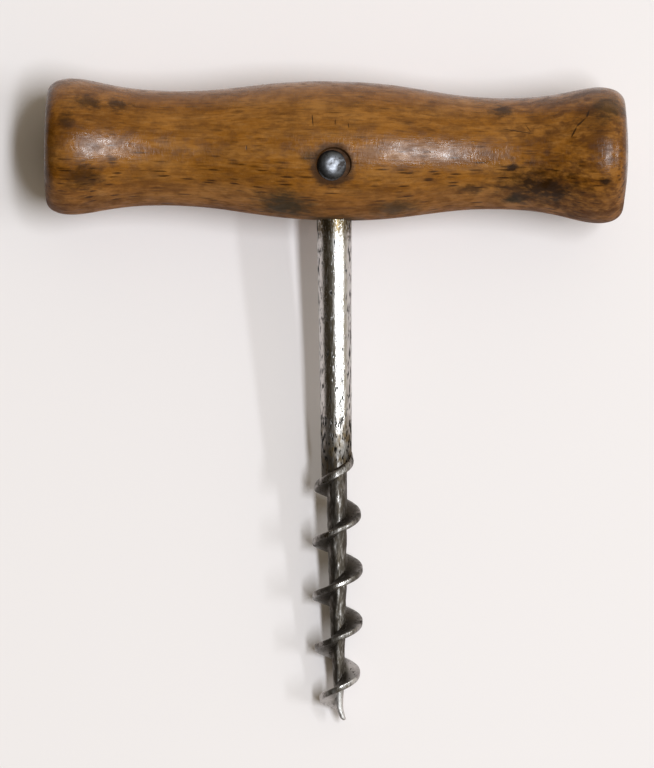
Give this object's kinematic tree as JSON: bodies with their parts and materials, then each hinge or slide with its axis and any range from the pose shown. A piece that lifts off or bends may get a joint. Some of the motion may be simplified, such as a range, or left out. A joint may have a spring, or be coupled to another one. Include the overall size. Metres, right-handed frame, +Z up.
{
  "type": "corkscrew",
  "caption": "Plain T-handle corkscrew: turned wooden cross handle riveted to a round steel shank that ends in a helical blade worm with a bent point, for pulling corks by hand.",
  "frame": {"origin": "on the table, under the middle of the bounding box of the tool lying down", "axes": "+X along the handle to its right end, +Y along the table from the point towards the handle, +Z up from the table, out of the rivet's domed head"},
  "size_m": [0.1016, 0.1122, 0.0245],
  "materials": {
    "beech": "turned and worn smooth, satin",
    "worm_steel": "polished, pitted with age",
    "rivet_steel": "hammered dome, dull"
  },
  "bodies": {
    "root": {"handle": "beech", "worm_shank": "worm_steel", "rivet": "rivet_steel"}
  },
  "joints": []
}
